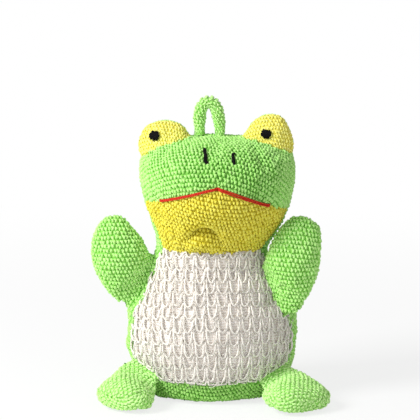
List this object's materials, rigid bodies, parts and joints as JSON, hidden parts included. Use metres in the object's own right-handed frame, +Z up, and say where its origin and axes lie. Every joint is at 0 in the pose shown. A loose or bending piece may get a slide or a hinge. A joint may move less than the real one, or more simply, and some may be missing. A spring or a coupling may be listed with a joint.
{
  "type": "frog bath toy",
  "caption": "Stuffed terry frog for the bath with a knitted scrubbing belly, raised arms, splayed feet and a loop to hang it by.",
  "frame": {"origin": "on the floor, under the middle of the toy's box", "axes": "+Z up; the frog faces -Y; +X to the right of a viewer in front of it"},
  "size_m": [0.1434, 0.0898, 0.1848],
  "materials": {
    "green_terry": "looped terry, matte",
    "yellow_terry": "looped terry, matte",
    "bast_net": "coarse knitted bast yarn, slightly lustrous",
    "lining": "plain cloth, matte",
    "black_thread": "embroidery thread, soft sheen",
    "red_thread": "embroidery thread, soft sheen",
    "foam": "open-cell foam, matte",
    "fibrefill": "loose white fibre, matte"
  },
  "bodies": {
    "body": {"belly_net": "bast_net", "body_back": "green_terry", "body_base": "green_terry", "belly_lining": "lining", "body_sponge": "foam"},
    "head": {"head_top_left": "green_terry", "head_top_right": "green_terry", "chin": "yellow_terry", "head_back": "green_terry", "head_stuffing": "fibrefill", "left_mouth_stitch": "red_thread", "right_mouth_stitch": "red_thread", "left_nostril": "black_thread", "right_nostril": "black_thread", "left_eye_front": "yellow_terry", "left_eye_back": "green_terry", "left_eye_stuffing": "fibrefill", "left_pupil": "black_thread", "right_eye_front": "yellow_terry", "right_eye_back": "green_terry", "right_eye_stuffing": "fibrefill", "right_pupil": "black_thread"},
    "left_arm": {"left_arm_front": "green_terry", "left_arm_back": "green_terry", "left_arm_stuffing": "fibrefill"},
    "right_arm": {"right_arm_front": "green_terry", "right_arm_back": "green_terry", "right_arm_stuffing": "fibrefill"},
    "left_foot": {"left_foot_top": "green_terry", "left_foot_sole": "green_terry", "left_foot_stuffing": "fibrefill"},
    "right_foot": {"right_foot_top": "green_terry", "right_foot_sole": "green_terry", "right_foot_stuffing": "fibrefill"},
    "loop": {"hanging_loop": "green_terry"}
  },
  "joints": [
    {"name": "head_turn", "type": "hinge", "parent": "body", "child": "head", "pos_m": [0.00109, 0.01191, 0.092], "axis": [0, 0, 1], "range_deg": [-20, 20], "stiffness_Nm_per_rad": 0.1},
    {"name": "left_arm_swing", "type": "hinge", "parent": "body", "child": "left_arm", "pos_m": [-0.04273, 0.00732, 0.06842], "axis": [0.4283, 0.0435, 0.9026], "range_deg": [-30, 40], "stiffness_Nm_per_rad": 0.02},
    {"name": "right_arm_swing", "type": "hinge", "parent": "body", "child": "right_arm", "pos_m": [0.0403, -0.00433, 0.06694], "axis": [0.3728, -0.1492, -0.9158], "range_deg": [-30, 40], "stiffness_Nm_per_rad": 0.02},
    {"name": "left_foot_flex", "type": "hinge", "parent": "body", "child": "left_foot", "pos_m": [-0.04033, -0.00953, 0.01947], "axis": [-0.7107, 0.5541, 0.4335], "range_deg": [-20, 35], "stiffness_Nm_per_rad": 0.03},
    {"name": "right_foot_flex", "type": "hinge", "parent": "body", "child": "right_foot", "pos_m": [0.04066, -0.01013, 0.01685], "axis": [-0.7504, -0.5103, -0.42], "range_deg": [-20, 35], "stiffness_Nm_per_rad": 0.03},
    {"name": "loop_swing", "type": "hinge", "parent": "head", "child": "loop", "pos_m": [0.00019, 0.01391, 0.16326], "axis": [1, 0, 0], "range_deg": [-75, 75], "stiffness_Nm_per_rad": 0.002}
  ]
}
